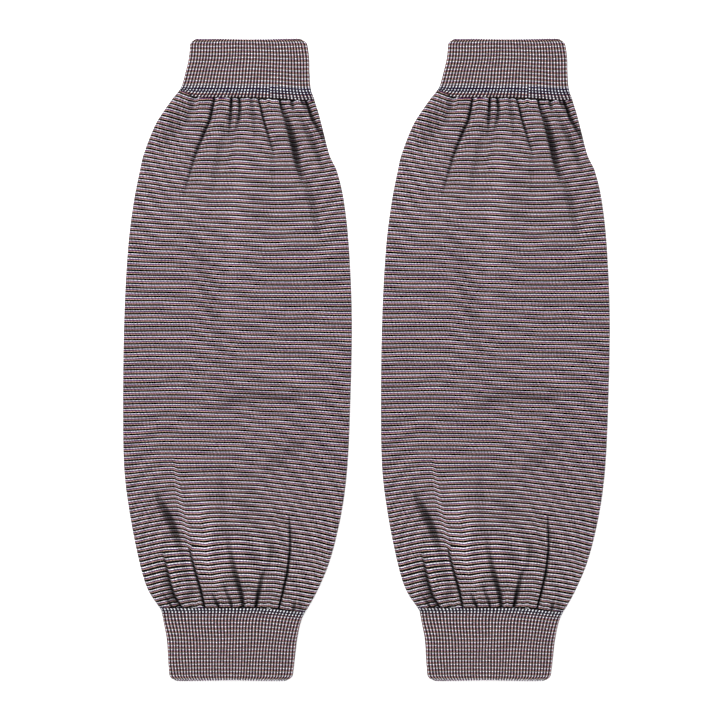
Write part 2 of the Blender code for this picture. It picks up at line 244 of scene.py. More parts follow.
FREE_CREASES = (
    Crease(
        ((38.0, -30.0), (50.0, -35.5), (60.0, -41.5), (73.0, -51.0)),
        0.9, 4.6, 0.3, 0.0, 0.0, 0.36, 0.8,
    ),
    Crease(
        ((42.0, -4.2), (60.0, -8.5), (85.0, -14.0), (106.0, -17.5)),
        0.8, 2.6, 0.2, 0.0, 0.0, 0.3, 0.8,
    ),
    Crease(((48.0, 2.0), (66.0, -3.2), (84.0, -5.5)), 0.3, 2.6, 0.0, -0.9, 0.0, 0.1),
    Crease(((60.0, 19.0), (78.0, 22.0), (102.0, 21.5)), 0.5, 2.0, 0.2, 0.0, 0.0, 0.22),
    Crease(
        ((41.5, 27.3), (51.9, 30.8), (64.3, 34.1), (78.3, 36.9), (90.0, 40.4)),
        4.6, 2.5, 0.6, 1.2, 0.35, 0.93, 0.4,
    ),
    Crease(
        ((78.0, 38.0), (92.0, 43.0), (104.0, 46.5), (128.0, 51.0)),
        1.4, 2.8, 0.4, 0.4, 0.2, 0.42, 0.8,
    ),
    Crease(
        ((44.0, 37.6), (51.9, 40.8), (61.2, 45.4), (72.0, 50.0), (86.0, 55.0)),
        2.0, 2.2, 0.6, 0.0, 0.0, 0.55,
    ),
    Crease(
        ((278.0, -51.5), (289.2, -46.9), (300.5, -40.6), (311.7, -36.4), (324.0, -33.6)),
        2.6, 2.9, 0.0, 0.0, -0.2, 0.86, 0.8,
    ),
    Crease(
        ((312.0, -36.0), (328.0, -32.6), (340.0, -29.6), (353.0, -26.4)),
        0.5, 2.3, 0.2, 0.0, 0.0, 0.4,
    ),
    Crease(
        ((262.0, -39.0), (288.0, -35.5), (303.8, -31.6), (316.8, -29.4), (326.0, -28.0)),
        -0.4, 2.4, 0.0, 2.7, 0.0, -0.22, 0.5,
    ),
    Crease(((314.0, -27.8), (330.0, -23.6), (345.0, -19.4)), -0.3, 2.4, 0.0, 0.0, 0.0, -0.2),
    Crease(
        ((268.0, -27.0), (296.0, -23.0), (322.0, -19.0), (350.0, -11.5)),
        -0.4, 6.8, 0.0, 0.0, 0.0, -0.3,
    ),
    Crease(((306.0, -47.5), (318.0, -46.4), (332.0, -46.4)), -0.3, 2.2, 0.0, 0.0, 0.0, -0.14),
    Crease(((322.0, -41.5), (336.0, -39.3), (347.0, -36.0)), -0.3, 2.2, 0.0, 0.0, 0.0, -0.2),
    Crease(
        ((290.0, -25.0), (306.0, -21.5), (327.0, -18.1), (337.0, -15.3), (349.0, -11.0)),
        0.3, 4.0, 1.4, 0.0, 0.0, 0.0,
    ),
    Crease(((316.0, 3.5), (323.0, 10.0), (321.0, 17.0)), 0.5, 3.0, 0.0, 0.0, 0.0, 0.24),
    Crease(
        ((306.0, 22.4), (318.3, 21.4), (328.6, 19.3), (336.0, 16.5)),
        1.1, 1.8, 0.4, 0.0, 0.0, 0.4,
    ),
    Crease(((286.0, 22.5), (305.0, 25.5), (324.0, 26.3)), 0.3, 2.0, 0.0, 0.6, 0.0, 0.1),
    Crease(
        ((227.0, -13.0), (223.4, 0.0), (221.2, 14.0), (221.9, 29.7), (226.5, 47.0)),
        1.2, 2.4, 0.0, 0.0, 0.0, 0.5, 0.5,
    ),
    Crease(((231.0, -15.0), (226.6, -8.0), (223.6, 6.0)), 0.8, 2.6, 0.0, 0.0, 0.0, 0.46),
    Crease(
        ((273.0, 15.0), (262.0, 26.0), (254.0, 36.0), (248.0, 46.0)),
        0.9, 4.4, 0.0, 0.0, 0.0, 0.27,
    ),
    Crease(
        ((52.0, 5.0), (100.0, 1.0), (150.0, -2.0), (190.0, -3.5)),
        -0.8, 5.4, 0.0, 0.0, 0.0, -0.1,
    ),
    soft_shade(((60.0, 5.5), (98.0, -0.8), (130.0, -1.6), (157.0, -3.8), (184.0, -6.2)), 3.8, -0.2),
    soft_shade(
        ((108.0, -31.0), (133.0, -24.0), (158.0, -18.0), (182.0, -12.5), (206.0, -9.0)),
        4.6, 0.16,
    ),
    soft_shade(((82.0, 14.0), (100.0, 16.0), (124.0, 17.0)), 7.0, 0.13),
    soft_shade(((264.0, -10.5), (284.0, -9.8), (308.0, -8.5)), 3.4, 0.22),
    soft_shade(((266.0, 2.0), (288.0, 7.0), (310.0, 11.0)), 8.5, 0.14),
    soft_shade(((238.0, -4.0), (243.0, 14.0), (238.0, 33.0)), 4.0, -0.12),
    soft_shade(((207.0, 18.0), (210.0, 34.0), (216.0, 52.0)), 5.0, -0.12),
)

# Creases of the back layer, shallow because the sleeve lies on them
BACK_GATHERS = (
    Crease(((37.3, -31.0), (49.0, -34.0), (64.0, -44.0)), 0.5, 2.4, 0.5),
    Crease(((37.3, -19.0), (56.0, -24.0), (88.0, -37.0)), 0.6, 2.8, 0.8, 0.3),
    Crease(((37.3, -6.0), (50.0, -6.5), (74.0, -11.0)), 0.5, 2.2, 0.6),
    Crease(((37.3, 5.5), (52.0, 7.0), (66.0, 7.5)), 0.5, 2.0, 0.5),
    Crease(((37.3, 17.0), (58.0, 21.0), (96.0, 30.0)), 0.6, 3.0, 0.9, -0.3),
    Crease(((37.3, 30.5), (48.0, 35.0), (69.0, 46.0)), 0.5, 2.4, 0.6),
    Crease(((355.0, -33.0), (343.0, -37.0), (318.0, -46.0)), 0.6, 2.6, 0.8),
    Crease(((355.0, -17.0), (336.0, -21.0), (301.0, -27.0)), 0.6, 2.8, 0.9, 0.3),
    Crease(((355.0, -4.0), (345.0, -4.5), (330.0, -7.0)), 0.5, 2.0, 0.5),
    Crease(((355.0, 9.0), (334.0, 11.0), (309.0, 17.0)), 0.6, 2.6, 0.8),
    Crease(((355.0, 23.0), (340.0, 28.0), (315.0, 39.0)), 0.6, 2.6, 0.7),
    Crease(((355.0, 35.0), (346.0, 40.0), (334.0, 45.0)), 0.5, 2.2, 0.4),
)

# Shares of its widest that a free crease has at its ends and a gather at its seam, how much the gather
# widens from there, and how early
FREE_END_WIDTH = 0.5
GATHER_START_WIDTH = 0.62
GATHER_WIDENING = 0.55
GATHER_WIDENING_EARLY = 0.7

# How sharp a crease's walls and the edges of its painted shade are, how far it drags its courses, how
# creases fade at the side folds, and how deep the back layer's creases go and how much painted shade they
# get
CREASE_SHARPNESS = 1.8
SHADE_SHARPNESS = 4.5
CREASE_SIDE_FADE = 16
DRAG_REACH = 3.2
DRAG_SHARPNESS = 1.3
STEP_REACH = 8.0
COURSE_WANDER = 0.25
BACK_DEEPEST = 0.7
BACK_SHADE = 0.7

# Uneven rises of the front layer, and the waves that an uneven field is made of
Lumps = namedtuple("Lumps", "rise size seed")

LUMPS = (Lumps(0.16, 16, 3), Lumps(0.10, 7, 5))
UNEVEN_WAVES = 6
SHORTEST_WAVE = 1.4
LONGEST_WAVE = 3.0

# Small ripples beside each seam
RIPPLE_RISE = 0.22
RIPPLE_SAG = 0.45
RIPPLE_LENGTH = 7.0
RIPPLE_WIDTHS = (4.3, 6.1)
RIPPLE_UNEVENNESS = 0.4

# Ribs: how round their crests are, and how they flatten and draw in their valleys at the open edge
CREST_SHARPNESS = 0.8
EDGE_FLATTENING = 0.45
EDGE_FLATTENING_REACH = 0.7
EDGE_SCALLOP = 0.3
EDGE_SCALLOP_REACH = 0.8
CUFF_SIDE_FLATNESS = 8
RAISED_SIDEWAYS = 0.4

# How the ribs and their courses wander, the courses only from some way off the seam
RIB_WANDER = 0.16
RIB_UNEVENNESS = 0.08
CUFF_COURSE_WANDER = 0.5
CUFF_WANDER_START = 9.0

# How much shade is painted on the knit where it tucks into the seam
TUCK_SHADE = 0.25
TUCK_REACH = 0.6

# How nearly level a column faces on the flat layers, and from where the top of a cuff is uneven
FLAT_FACING = 0.999
UPWARD_FACING = 0.5

# Mesh density, and how near the first and last columns are when they join, in metres
BODY_FRONT_COLUMNS = 350
BODY_BACK_COLUMNS = 50
SIDE_COLUMNS = 10
BODY_ROW_SPACING = (
    (37.0, 1.4),
    (60.0, 1.8),
    (100.0, 3.2),
    (170.0, 5.4),
    (230.0, 4.4),
    (290.0, 2.4),
    (320.0, 1.8),
    (355.0, 1.3),
)
FINE_STEPS = 2000
COLUMNS_PER_RIB = 8
BACK_COLUMNS_PER_RIB = 6
CUFF_EDGE_ROW = 0.45
CUFF_EDGE_REACH = 5
CUFF_ROW = 1.7
MERGE_DISTANCE = 1e-6

# The cloth that each stretch is cut from: its width all round the tube and its length
TOP_CUFF_CUT = (250, 37.3)
BODY_CUT = (285, 317.7)
BOTTOM_CUFF_CUT = (255, 44.7)


class Value:
    """One output of a shader node, so that maths on it is written as a Python expression."""

    def __init__(self, finish, socket):
        self.finish = finish
        self.socket = socket

    def maths(self, operation, first, second=0.0):
        return self.finish.node("ShaderNodeMath", {"operation": operation}, {0: first, 1: second})

    def __add__(self, other):
        return self.maths("ADD", self, other)

    def __radd__(self, other):
        return self.maths("ADD", other, self)

    def __sub__(self, other):
        return self.maths("SUBTRACT", self, other)

    def __rsub__(self, other):
        return self.maths("SUBTRACT", other, self)

    def __mul__(self, other):
        return self.maths("MULTIPLY", self, other)

    def __rmul__(self, other):
        return self.maths("MULTIPLY", other, self)

    def __truediv__(self, other):
        return self.maths("DIVIDE", self, other)

    def __rtruediv__(self, other):
        return self.maths("DIVIDE", other, self)

    def __mod__(self, other):
        return self.maths("FLOORED_MODULO", self, other)

    def __pow__(self, other):
        return self.maths("POWER", self, other)

    def __lt__(self, other):
        return self.maths("LESS_THAN", self, other)

    def __gt__(self, other):
        return self.maths("GREATER_THAN", self, other)

    def __abs__(self):
        return self.maths("ABSOLUTE", self)

    def whole(self):
        return self.maths("FLOOR", self)

    def fraction(self):
        return self.maths("FRACT", self)

    def at_least(self, low):
        return self.maths("MAXIMUM", self, low)

    def at_most(self, high):
        return self.maths("MINIMUM", self, high)


class Finish:
    """A material under construction, whose nodes all come from the method node."""

    def __init__(self, name):
        self.material = bpy.data.materials.new(name)
        self.material.use_nodes = True
        self.tree = self.material.node_tree
        self.tree.nodes.clear()

    def node(self, kind, settings, inputs, output=0):
        """A node of a kind, with its settings made first, its sockets filled, and one output returned."""
        made = self.tree.nodes.new(kind)
        for name, value in settings.items():
            if name == "stops":
                fill_ramp(made.color_ramp, value)
            else:
                setattr(made, name, value)
        for name, value in inputs.items():
            socket = named_socket(made.inputs, name)
            if isinstance(value, Value):
                self.tree.links.new(value.socket, socket)
            else:
                socket.default_value = value
        return Value(self, named_socket(made.outputs, output))

    def show(self, surface):
        """Makes a shader the material's surface."""
        output = self.tree.nodes.new("ShaderNodeOutputMaterial")
        self.tree.links.new(surface.socket, output.inputs["Surface"])

    def blend(self, share, first, second):
        """The first colour, turned into the second where share is 1."""
        colors = {"A_Color": first, "B_Color": second, "Factor_Float": share}
        return self.node("ShaderNodeMix", {"data_type": "RGBA"}, colors, "Result_Color")

    def darken(self, color, brightness):
        """A colour times a brightness."""
        shares = {"Red": brightness, "Green": brightness, "Blue": brightness}
        grey = self.node("ShaderNodeCombineColor", {}, shares)
        settings = {"data_type": "RGBA", "blend_type": "MULTIPLY"}
        colors = {"A_Color": color, "B_Color": grey, "Factor_Float": 1.0}
        return self.node("ShaderNodeMix", settings, colors, "Result_Color")

    def noise(self, across, along):
        """Smooth noise from 0 to 1 on a pair of coordinates, with lumps about 1 wide."""
        place = self.node("ShaderNodeCombineXYZ", {}, {"X": across, "Y": along})
        inputs = {"Vector": place, "Scale": 1.0, "Detail": 2.0}
        return self.node("ShaderNodeTexNoise", {"noise_dimensions": "2D"}, inputs, "Fac")

    def speckle(self, across, along):
        """A value from 0 to 1 that differs from one whole pair of coordinates to the next."""
        place = self.node("ShaderNodeCombineXYZ", {}, {"X": across, "Y": along})
        settings = {"noise_dimensions": "2D"}
        return self.node("ShaderNodeTexWhiteNoise", settings, {"Vector": place}, "Value")

    def stripes(self, climb, rows, stripes):
        """The colour at a height in a repeat of stripes, each with its share of the repeat's rows."""
        start = 0.0
        stops = []
        for color, share in stripes:
            stops.append((start, color))
            start += share
        return self.node("ShaderNodeValToRGB", {"stops": stops}, {"Fac": climb % rows / rows}, "Color")


def named_socket(sockets, name):
    """A socket by its number, its identifier or its name."""
    if isinstance(name, int):
        return sockets[name]
    for socket in sockets:
        if socket.identifier == name:
            return socket
    return sockets[name]


def fill_ramp(ramp, stops):
    """Gives a colour ramp steps of even colour, each from its own stop on."""
    ramp.interpolation = "CONSTANT"
    while len(ramp.elements) < len(stops):
        ramp.elements.new(1.0)
    for element, (position, color) in zip(ramp.elements, stops):
        element.position = position
        element.color = (*color, 1.0)


# Yarns, as linear reflectances
LILAC = (0.82, 0.84, 0.90)
PALE_LILAC = (1.0, 1.0, 1.05)
PLUM = (0.085, 0.018, 0.12)
PEACH = (0.47, 0.29, 0.22)
BLACK = (0.0, 0.001, 0.0)

# Stripes in a repeat of four courses, with their shares of it, which stand out more near the seams
COURSES_IN_REPEAT = 4
BODY_STRIPES = ((PLUM, 0.285), (PEACH, 0.15), (BLACK, 0.43), (LILAC, 0.135))
NEAR_SEAM_STRIPES = ((PLUM, 0.24), (PEACH, 0.14), (BLACK, 0.46), (PALE_LILAC, 0.16))
NEAR_TOP_SEAM = 0.32
NEAR_BOTTOM_SEAM = 0.67
NEAR_SEAM_RISE = 4.0
NEAR_TOP_STRENGTH = 0.4

# The jersey's brightness, and how it varies in broad bands, stitches, dashes and streaks
BODY_LIGHT = 0.81
BAND_LIGHT = 0.19
BAND_COURSES = 2
BAND_STEP = 1.5096
BAND_SHIFT = 0.23
STITCH_SLANT = 0.08
STITCH_UNEVENNESS = 0.22
STITCH_GAP_LIGHT = 0.4
STITCH_CONTRAST = 0.34
STREAK_CONTRAST = 0.4
DASH = 0.4
WALES_IN_DASH = 2
DASH_STEP = 0.25
DASH_DRIFT = 6
LIGHTEST = 1.16

# How fine the noises are, across per wale or rib and along per course
UNEVEN_ACROSS = 0.45
UNEVEN_ALONG = 0.3
DRIFT_FINENESS = 0.05
STREAK_FINENESS = 0.06
RIB_STREAK_FINENESS = 0.12
ROWS_APART = 3.7

# The surface of any knit
STITCH_BUMP = 0.00022
KNIT_ROUGHNESS = 0.92
KNIT_SPECULAR = 0.02
NAP = 0.02
NAP_ROUGHNESS = 0.5
# Painted shade in creases and at the seams, and painted light on ridges, as a share of the yarn's
# brightness
PAINTED_LIGHT_AND_SHADE_STRENGTH = 0.97


def lobe(share):
    """1 in the middle of a share from 0 to 1, and 0 at both ends."""
    return 4 * share * (1 - share)


def knit_place(finish):
    """The wale (or rib) and course numbers of a point, from the knit's own UV map."""
    place = finish.node("ShaderNodeUVMap", {"uv_map": "knit"}, {})
    wale = finish.node("ShaderNodeSeparateXYZ", {}, {"Vector": place}, "X")
    course = finish.node("ShaderNodeSeparateXYZ", {}, {"Vector": place}, "Y")
    return wale, course


def painted_shade_and_light(finish):
    """The painted shade on the yarn in creases and where it tucks into a seam, and the painted light on
    ridges, from the piece's attribute crease.
    """
    depth = finish.node("ShaderNodeAttribute", {"attribute_name": "crease"}, {}, "Fac")
    return 1 - PAINTED_LIGHT_AND_SHADE_STRENGTH * depth


def unevenness(finish, wale, course):
    """How far a stitch's edges lie off the course's own, in courses."""
    return STITCH_UNEVENNESS * (finish.noise(wale * UNEVEN_ACROSS, course * UNEVEN_ALONG) - 0.5)


def varied(contrast, value, beside):
    """A brightness that varies between neighbours: above 1 where a value is above that beside it."""
    return 1 + contrast * (value - beside)


def broad_bands(finish, course):
    """A brightness in broad bands across the courses, where the stripes beat with a close spacing."""
    object_place = finish.node("ShaderNodeTexCoord", {}, {}, "Object")
    y = finish.node("ShaderNodeSeparateXYZ", {}, {"Vector": object_place}, "Y")
    beat = course / BAND_COURSES - (SLEEVE_LENGTH / 2 - y / MM) / BAND_STEP + BAND_SHIFT
    return 1 + BAND_LIGHT * beat.maths("SINE", beat * math.tau)


def finish_knit(finish, color, height):
    """The surface of a knit: matt, with a soft nap, and its stitches raised by a bump."""
    stitches = {"Strength": 1.0, "Distance": STITCH_BUMP, "Height": height}
    bump = finish.node("ShaderNodeBump", {}, stitches, "Normal")
    looks = {
        "Base Color": color,
        "Roughness": KNIT_ROUGHNESS,
        "Specular IOR Level": KNIT_SPECULAR,
        "Sheen Weight": NAP,
        "Sheen Roughness": NAP_ROUGHNESS,
        "Normal": bump,
    }
    finish.show(finish.node("ShaderNodeBsdfPrincipled", {}, looks))
    return finish.material


def jersey_material():
    """Fine jersey: columns of V-shaped stitches in narrow stripes of four yarns."""
    finish = Finish("striped_jersey")
    wale, course = knit_place(finish)
    from_middle = abs(wale.fraction() - 0.5) * 2
    climb = course + STITCH_SLANT * from_middle + unevenness(finish, wale, course)
    row = climb.whole()
    leg = lobe(climb.fraction()) * (1 - (2 * from_middle - 1) ** 4)
    light = STITCH_GAP_LIGHT + (1 - STITCH_GAP_LIGHT) * leg ** 0.5
    drift = DASH_DRIFT * finish.noise(wale * DRIFT_FINENESS, course * DRIFT_FINENESS)
    dash_place = (wale + DASH_STEP * row + drift) / WALES_IN_DASH
    dash = abs(dash_place.fraction() - 0.5) * 4 - 1
    light = BODY_LIGHT * light * (1 + DASH * dash)
    stitches = [finish.speckle(wale.whole() + step, row) for step in (0, 1)]
    light = light * varied(STITCH_CONTRAST, *stitches)
    streaks = [finish.noise(wale * STREAK_FINENESS, (row + step) * ROWS_APART) for step in (0, 1)]
    light = light * varied(STREAK_CONTRAST, *streaks)
    # painted shade in creases and painted light on ridges
    light = light * broad_bands(finish, course) * painted_shade_and_light(finish)
    down = course / BODY_COURSES
    near_top = ((NEAR_TOP_SEAM - down) * NEAR_SEAM_RISE).at_most(NEAR_TOP_STRENGTH)
    near_bottom = (down - NEAR_BOTTOM_SEAM) * NEAR_SEAM_RISE
    near_seam = near_bottom.at_least(near_top).at_least(0.0).at_most(1.0)
    plain = finish.stripes(climb, COURSES_IN_REPEAT, BODY_STRIPES)
    strong = finish.stripes(climb, COURSES_IN_REPEAT, NEAR_SEAM_STRIPES)
    color = finish.blend(near_seam, plain, strong)
    color = finish.darken(color, light.at_most(LIGHTEST))
    return finish_knit(finish, color, leg)


# The rib's yarns, lighter on its crests, because each stitch there shows its neighbours' yarn too
RIB_LILAC = (0.66, 0.66, 0.72)
RIB_PLUM = (0.30, 0.19, 0.29)
RIB_PEACH = (0.33, 0.18, 0.155)
RIB_TAN = (0.25, 0.195, 0.145)
RIB_MAROON = (0.10, 0.03, 0.03)
# Painted shade in the rib's valleys: nearly black, paler in one course of four, and in the bands beside
# the seams
RIB_VALLEY_SHADE = (0.004, 0.0, 0.0)
RIB_PALE_VALLEY_SHADE = (0.052, 0.05, 0.058)
BAND_VALLEY_SHADE = (0.006, 0.002, 0.008)
# Yarns of the bands beside the seams
RIB_NAVY = (0.006, 0.003, 0.035)
RIB_INK = (0.006, 0.003, 0.015)
RIB_WHITE = (0.66, 0.66, 0.71)

RIB_STRIPES = ((RIB_PLUM, 0.25), (RIB_PEACH, 0.27), (RIB_TAN, 0.22), (RIB_LILAC, 0.26))
WALES_PER_RIB = 1.7
RIB_STITCH_SLANT = 0.25
RIB_STITCH_CONTRAST = 0.6
RIB_STREAK_CONTRAST = 0.5
RIB_LIGHTEST = 1.5
RIB_VALLEYS = ((RIB_VALLEY_SHADE, 0.68), (RIB_PALE_VALLEY_SHADE, 0.32))
RIB_KNIT_SHARE = 0.24
VALLEY_SHARPNESS = 0.2
TOP_RIB_LIGHT = 1.4
BOTTOM_RIB_LIGHT = 1.56

# The bands of other courses beside the seams, from the top down, with how many courses each stripe has
TOP_BAND_FIRST = 48.6
TOP_BAND = (
    (RIB_TAN, 0.7),
    (RIB_WHITE, 1.6),
    (RIB_NAVY, 1.7),
    (RIB_WHITE, 1.3),
    (RIB_NAVY, 1.4),
    (RIB_WHITE, 1.3),
    (RIB_PEACH, 1.2),
    (RIB_MAROON, 1.0),
    (RIB_WHITE, 1.3),
    (RIB_PEACH, 0.8),
    (BLACK, 0.5),
)
TOP_BAND_JOG = (
    (RIB_WHITE, 0.8),
    (RIB_NAVY, 1.5),
    (RIB_WHITE, 1.6),
    (RIB_NAVY, 1.4),
    (RIB_WHITE, 1.0),
    (RIB_NAVY, 1.3),
    (RIB_PEACH, 0.9),
    (RIB_WHITE, 1.1),
    (RIB_MAROON, 1.0),
    (RIB_WHITE, 1.2),
    (RIB_PEACH, 0.6),
    (BLACK, 0.4),
)
TOP_JOG_RIBS = (10.0, 34.2)
BOTTOM_BAND = (
    (BLACK, 0.3),
    (RIB_WHITE, 1.9),
    (RIB_INK, 1.3),
    (RIB_WHITE, 1.6),
    (RIB_MAROON, 1.5),
)
NO_JOG = (0, 0)


def band_rows(band):
    """How many courses a band has."""
    return sum(courses for _, courses in band)


def rib_material(name, brightness, band_first, band, band_jog, jog):
    """1x1 rib: crests of V-shaped stitches and valleys of painted shade, with other courses beside the
    seam.

    Their band starts at the course band_first, and is band_jog between the two ribs of the jog, where
    the rounds of the knitting begin and end.
    """
    finish = Finish(name)
    rib, course = knit_place(finish)
    from_crest = abs((rib + 0.5).fraction() - 0.5) * 2
    number = (rib + 0.5).whole()
    climb = course + RIB_STITCH_SLANT * from_crest + unevenness(finish, rib * WALES_PER_RIB, course)
    row = climb.whole()
    on_crest = (from_crest / RIB_KNIT_SHARE).at_most(1.0)
    leg = lobe(climb.fraction()) * (1 - on_crest ** 4)
    light = STITCH_GAP_LIGHT + (1 - STITCH_GAP_LIGHT) * leg ** 0.5
    # painted shade where the rib tucks into the seam
    light = brightness * light * painted_shade_and_light(finish)
    stitches = [finish.speckle(number, row + step) for step in (0, 1)]
    light = light * varied(RIB_STITCH_CONTRAST, *stitches)
    streak = finish.noise(number * ROWS_APART, course * RIB_STREAK_FINENESS)
    light = light * varied(RIB_STREAK_CONTRAST, streak, 0.5)
    in_band = (climb > band_first) * (climb < band_first + band_rows(band))
    in_jog = (rib > jog[0]) * (rib < jog[1])
    plain = finish.stripes(climb, COURSES_IN_REPEAT, RIB_STRIPES)
    outside = finish.stripes(climb - band_first, band_rows(band), shares(band))
    inside = finish.stripes(climb - band_first, band_rows(band_jog), shares(band_jog))
    color = finish.blend(in_band, plain, finish.blend(in_jog, outside, inside))
    # painted shade in the valleys between the crests
    valley_shade_share = ((from_crest - RIB_KNIT_SHARE) / (1 - RIB_KNIT_SHARE)).at_least(0.0) ** VALLEY_SHARPNESS
    crest = finish.darken(color, light.at_most(RIB_LIGHTEST))
    plain_valley_shade = finish.stripes(climb, COURSES_IN_REPEAT, RIB_VALLEYS)
    color = finish.blend(valley_shade_share, crest, finish.blend(in_band, plain_valley_shade, (*BAND_VALLEY_SHADE, 1.0)))
    return finish_knit(finish, color, leg)


def shares(band):
    """A band's stripes with their shares of its courses in place of their numbers."""
    return [(color, courses / band_rows(band)) for color, courses in band]


# Curves and paths
def smooth_curve(places, values, at):
    """The values at several places, on a smooth curve through the rows of a table."""
    places = np.asarray(places, float)
    values = np.asarray(values, float)
    slopes = np.empty_like(values)
    slopes[1:-1] = (values[2:] - values[:-2]) / (places[2:] - places[:-2])
    slopes[0] = (values[1] - values[0]) / (places[1] - places[0])
    slopes[-1] = (values[-1] - values[-2]) / (places[-1] - places[-2])
    at = np.clip(at, places[0], places[-1])
    index = np.clip(np.searchsorted(places, at, side="right") - 1, 0, len(places) - 2)
    span = places[index + 1] - places[index]
    share = (at - places[index]) / span
    square = share * share
    cube = square * share
    return (
        (2 * cube - 3 * square + 1) * values[index]
        + (cube - 2 * square + share) * slopes[index] * span
        + (3 * square - 2 * cube) * values[index + 1]
        + (cube - square) * slopes[index + 1] * span
    )


def station_values(stations, column, alongs):
    """One column of a station table at each of several distances along the sleeve."""
    places = [row.along for row in stations]
    return smooth_curve(places, [getattr(row, column) for row in stations], alongs)


def course_drop(along, x):
    """How far the courses lie below where they cross the axis, creases apart."""
    places = [row.along for row in COURSE_DROPS]
    columns = zip(*(row.drops for row in COURSE_DROPS))
    down = np.transpose([smooth_curve(places, drops, along[:, 0]) for drops in columns])
    return np.array([smooth_curve(DROP_PLACES, drops, across) for drops, across in zip(down, x)])


def near(distance, reach):
    """1 at no distance, fading to almost nothing at twice a reach."""
    return np.exp(-((distance / reach) ** 2))


def uneven(along, x, size, seed):
    """A smooth uneven field, from about -1 to 1, with lumps about as wide as size."""
    random = np.random.default_rng(seed)
    total = np.zeros(np.broadcast(along, x).shape)
    for _ in range(UNEVEN_WAVES):
        angle, phase = random.uniform(0, math.tau, 2)
        wavelength = size * random.uniform(SHORTEST_WAVE, LONGEST_WAVE)
        total += np.sin((along * math.cos(angle) + x * math.sin(angle)) * math.tau / wavelength + phase)
    return total / (UNEVEN_WAVES / 2)


def from_path(path, along, x):
    """Each point's distance from a path, positive on its right, and how far along the path it lies."""
    runs = [np.subtract(end, start) for start, end in zip(path, path[1:])]
    lengths = [math.hypot(*run) for run in runs]
    heading = 1 if path[-1][0] >= path[0][0] else -1
    nearest = np.full(x.shape, np.inf)
    signed = np.zeros(x.shape)
    travelled = np.zeros(x.shape)
    for i, (start, run) in enumerate(zip(path, runs)):
        share = np.clip(((along - start[0]) * run[0] + (x - start[1]) * run[1]) / lengths[i] ** 2, 0, 1)
        off_along = along - start[0] - share * run[0]
        off_x = x - start[1] - share * run[1]
        distance = np.hypot(off_along, off_x)
        closer = distance < nearest
        side = np.sign(run[0] * off_x - run[1] * off_along) * heading
        nearest = np.where(closer, distance, nearest)
        signed = np.where(closer, distance * side, signed)
        here = (sum(lengths[:i]) + share * lengths[i]) / sum(lengths)
        travelled = np.where(closer, here, travelled)
    return signed, travelled


Pull = namedtuple("Pull", "sink sag shade")


def crease_pull(creases, along, x, free=False):
    """What a table of creases does to a layer: how far it and its courses sink, and the painted shade on
    it, with painted light where a crease's dark is negative.
    """
    sink = np.zeros(x.shape)
    drag = np.zeros(x.shape)
    step = np.zeros(x.shape)
    shade = np.zeros(x.shape)
    light = np.zeros(x.shape)
    for crease in creases:
        signed, travelled = from_path(crease.path, along, x)
        if free:
            middle = np.sin(math.pi * travelled)
            strength = np.clip(middle, 0, 1) ** crease.fade
            width = crease.half_width * (FREE_END_WIDTH + (1 - FREE_END_WIDTH) * middle)
        else:
            strength = np.clip(np.cos(math.pi / 2 * travelled), 0, 1) ** crease.fade
            widening = np.sin(math.pi * travelled ** GATHER_WIDENING_EARLY)
            width = crease.half_width * (GATHER_START_WIDTH + GATHER_WIDENING * widening)
        sided = width * np.where(signed < 0, 1 - crease.skew, 1 + crease.skew)
        sink += crease.depth * strength * np.exp(-np.abs(signed / sided) ** CREASE_SHARPNESS)
        beside = np.exp(-np.abs(signed / (width + DRAG_REACH)) ** DRAG_SHARPNESS)
        drag = np.maximum(drag, crease.drag * strength * beside)
        across = np.tanh(signed / width) * np.exp(-np.abs(signed) / STEP_REACH)
        step += crease.step / 2 * strength * across
        # painted shade from the darkest crease, and painted light from the lightest ridge
        dark = crease.dark * strength * np.exp(-np.abs(signed / sided) ** SHADE_SHARPNESS)
        shade = np.maximum(shade, dark)
        light = np.minimum(light, dark)
    return Pull(sink, drag + step, shade + light)


# Sheets
def round_places(front, sides, back):
    """Where each column lies round the flattened tube, from the middle of the back over the right fold.

    Returns how far across the flat of the tube each column is, from -1 to 1, and the way it faces.
    """
    zones = (
        (back // 2, 0, 1, -90, -90),
        (sides, 1, 1, -90, 90),
        (front, 1, -1, 90, 90),
        (sides, -1, -1, 90, 270),
        (back // 2, -1, 0, 270, 270),
    )
    across = [np.linspace(first, last, count, endpoint=False) for count, first, last, _, _ in zones]
    angles = [np.linspace(first, last, count, endpoint=False) for count, _, _, first, last in zones]
    facing = np.radians(np.append(np.concatenate(angles), 270))
    return np.append(np.concatenate(across), 0), np.cos(facing), np.sin(facing)


def spaced_rows(start, end, spacing):
    """Distances along the sleeve from start to end, whose steps follow a table of (along, spacing)."""
    fine = np.linspace(start, end, FINE_STEPS)
    steps = np.interp(fine, [row[0] for row in spacing], [row[1] for row in spacing])
    counted = np.concatenate(([0], np.cumsum(np.diff(fine) / ((steps[1:] + steps[:-1]) / 2))))
    count = int(round(counted[-1]))
    return np.interp(np.linspace(0, counted[-1], count + 1), counted, fine)


def seam_drop(along, x, courses=False):
    """How much lower the cloth, or its courses alone, lies than in a sleeve with straight seams."""
    drop = np.zeros(np.broadcast(along, x).shape)
    for seam in SEAM_BENDS:
        at_seam = smooth_curve(*zip(*seam.drops), x)
        fade = np.where(along < seam.along, seam.above, seam.below)
        share = seam.followed if courses else 1
        drop += share * at_seam * near(along - seam.along, fade)
    from_edge = np.minimum(along, SLEEVE_LENGTH - along)
    return drop * np.clip(from_edge / EDGE_STRAIGHTNESS, 0, 1)


OUTLINE_STEP = 0.5
OUTLINE_PLACES = np.linspace(0, SLEEVE_LENGTH, int(SLEEVE_LENGTH / OUTLINE_STEP) + 1)
BENDING_ROUNDS = 3


